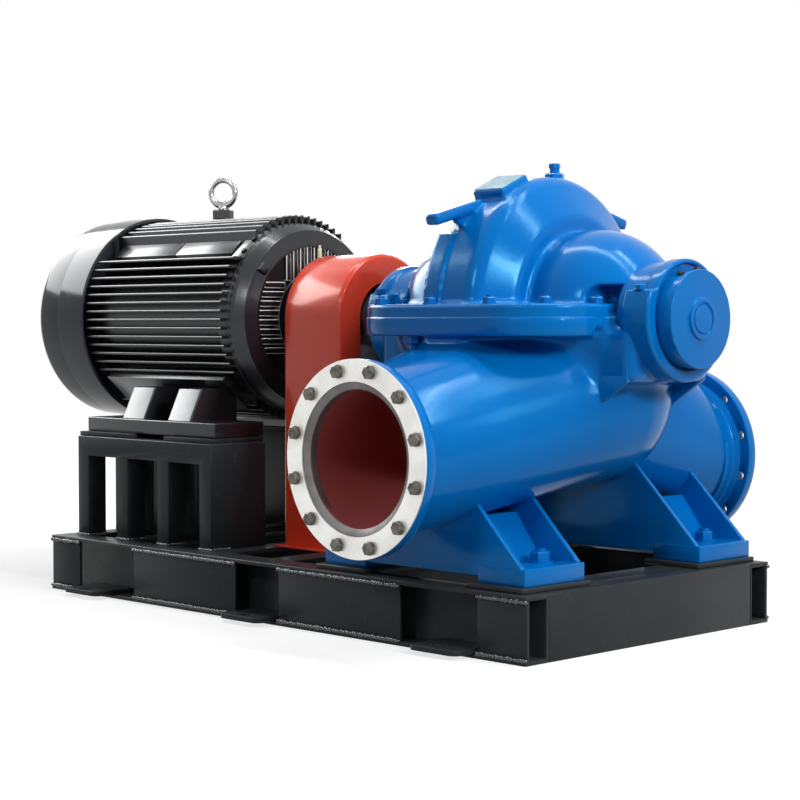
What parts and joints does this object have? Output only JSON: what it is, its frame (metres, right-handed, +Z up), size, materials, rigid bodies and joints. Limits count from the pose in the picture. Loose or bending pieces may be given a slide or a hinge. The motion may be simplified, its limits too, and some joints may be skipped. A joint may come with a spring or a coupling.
{
  "type": "split case pump",
  "caption": "Horizontal split case pump with side suction and discharge flanges, driven by a finned motor through a guarded coupling on a welded steel skid.",
  "frame": {"origin": "on the ground under the middle of the skid, on the underside of the middle cross beam", "axes": "+X along the shaft towards the pump's free end, -Y towards the suction flange, +Z up"},
  "size_m": [2.199, 1.206, 1.169],
  "materials": {
    "skid_paint": "satin black paint over rolled steel",
    "motor_paint": "gloss black paint over cast iron",
    "pump_paint": "gloss blue paint over cast iron",
    "guard_paint": "satin red paint over sheet steel",
    "face_paint": "pale coat on a machined face",
    "bright_steel": "bright turned steel",
    "coupling_iron": "machined iron",
    "gland_metal": "bare cast iron"
  },
  "bodies": {
    "root": {"near_side_beam": "skid_paint", "far_side_beam": "skid_paint", "pump_end_beam": "skid_paint", "motor_end_beam": "skid_paint", "middle_cross_beam": "skid_paint", "motor_cross_beams": "skid_paint", "pump_cross_beams": "skid_paint", "near_cover_plates": "skid_paint", "far_cover_plates": "skid_paint", "near_anchor_tabs": "skid_paint", "far_anchor_tabs": "skid_paint", "pump_pads": "skid_paint", "near_pedestal": "skid_paint", "far_pedestal": "skid_paint", "motor_packers": "skid_paint", "near_motor_foot": "motor_paint", "far_motor_foot": "motor_paint", "motor_frame": "motor_paint", "drive_end_shield": "motor_paint", "motor_bearing_cap": "motor_paint", "fan_cowl": "motor_paint", "terminal_box": "motor_paint", "lifting_eye": "bright_steel", "motor_shaft": "bright_steel", "motor_coupling_half": "coupling_iron", "pump_coupling_half": "coupling_iron", "coupling_guard": "guard_paint", "pump_shaft": "bright_steel", "lower_casing": "pump_paint", "upper_casing": "pump_paint", "suction_face_ring": "face_paint", "drive_end_gland": "gland_metal", "free_end_gland": "gland_metal", "drive_end_bearing_housing": "pump_paint", "free_end_bearing_housing": "pump_paint", "drive_end_bearing_cover": "pump_paint", "free_end_bearing_cover": "pump_paint", "vent_valve": "pump_paint"}
  },
  "joints": []
}
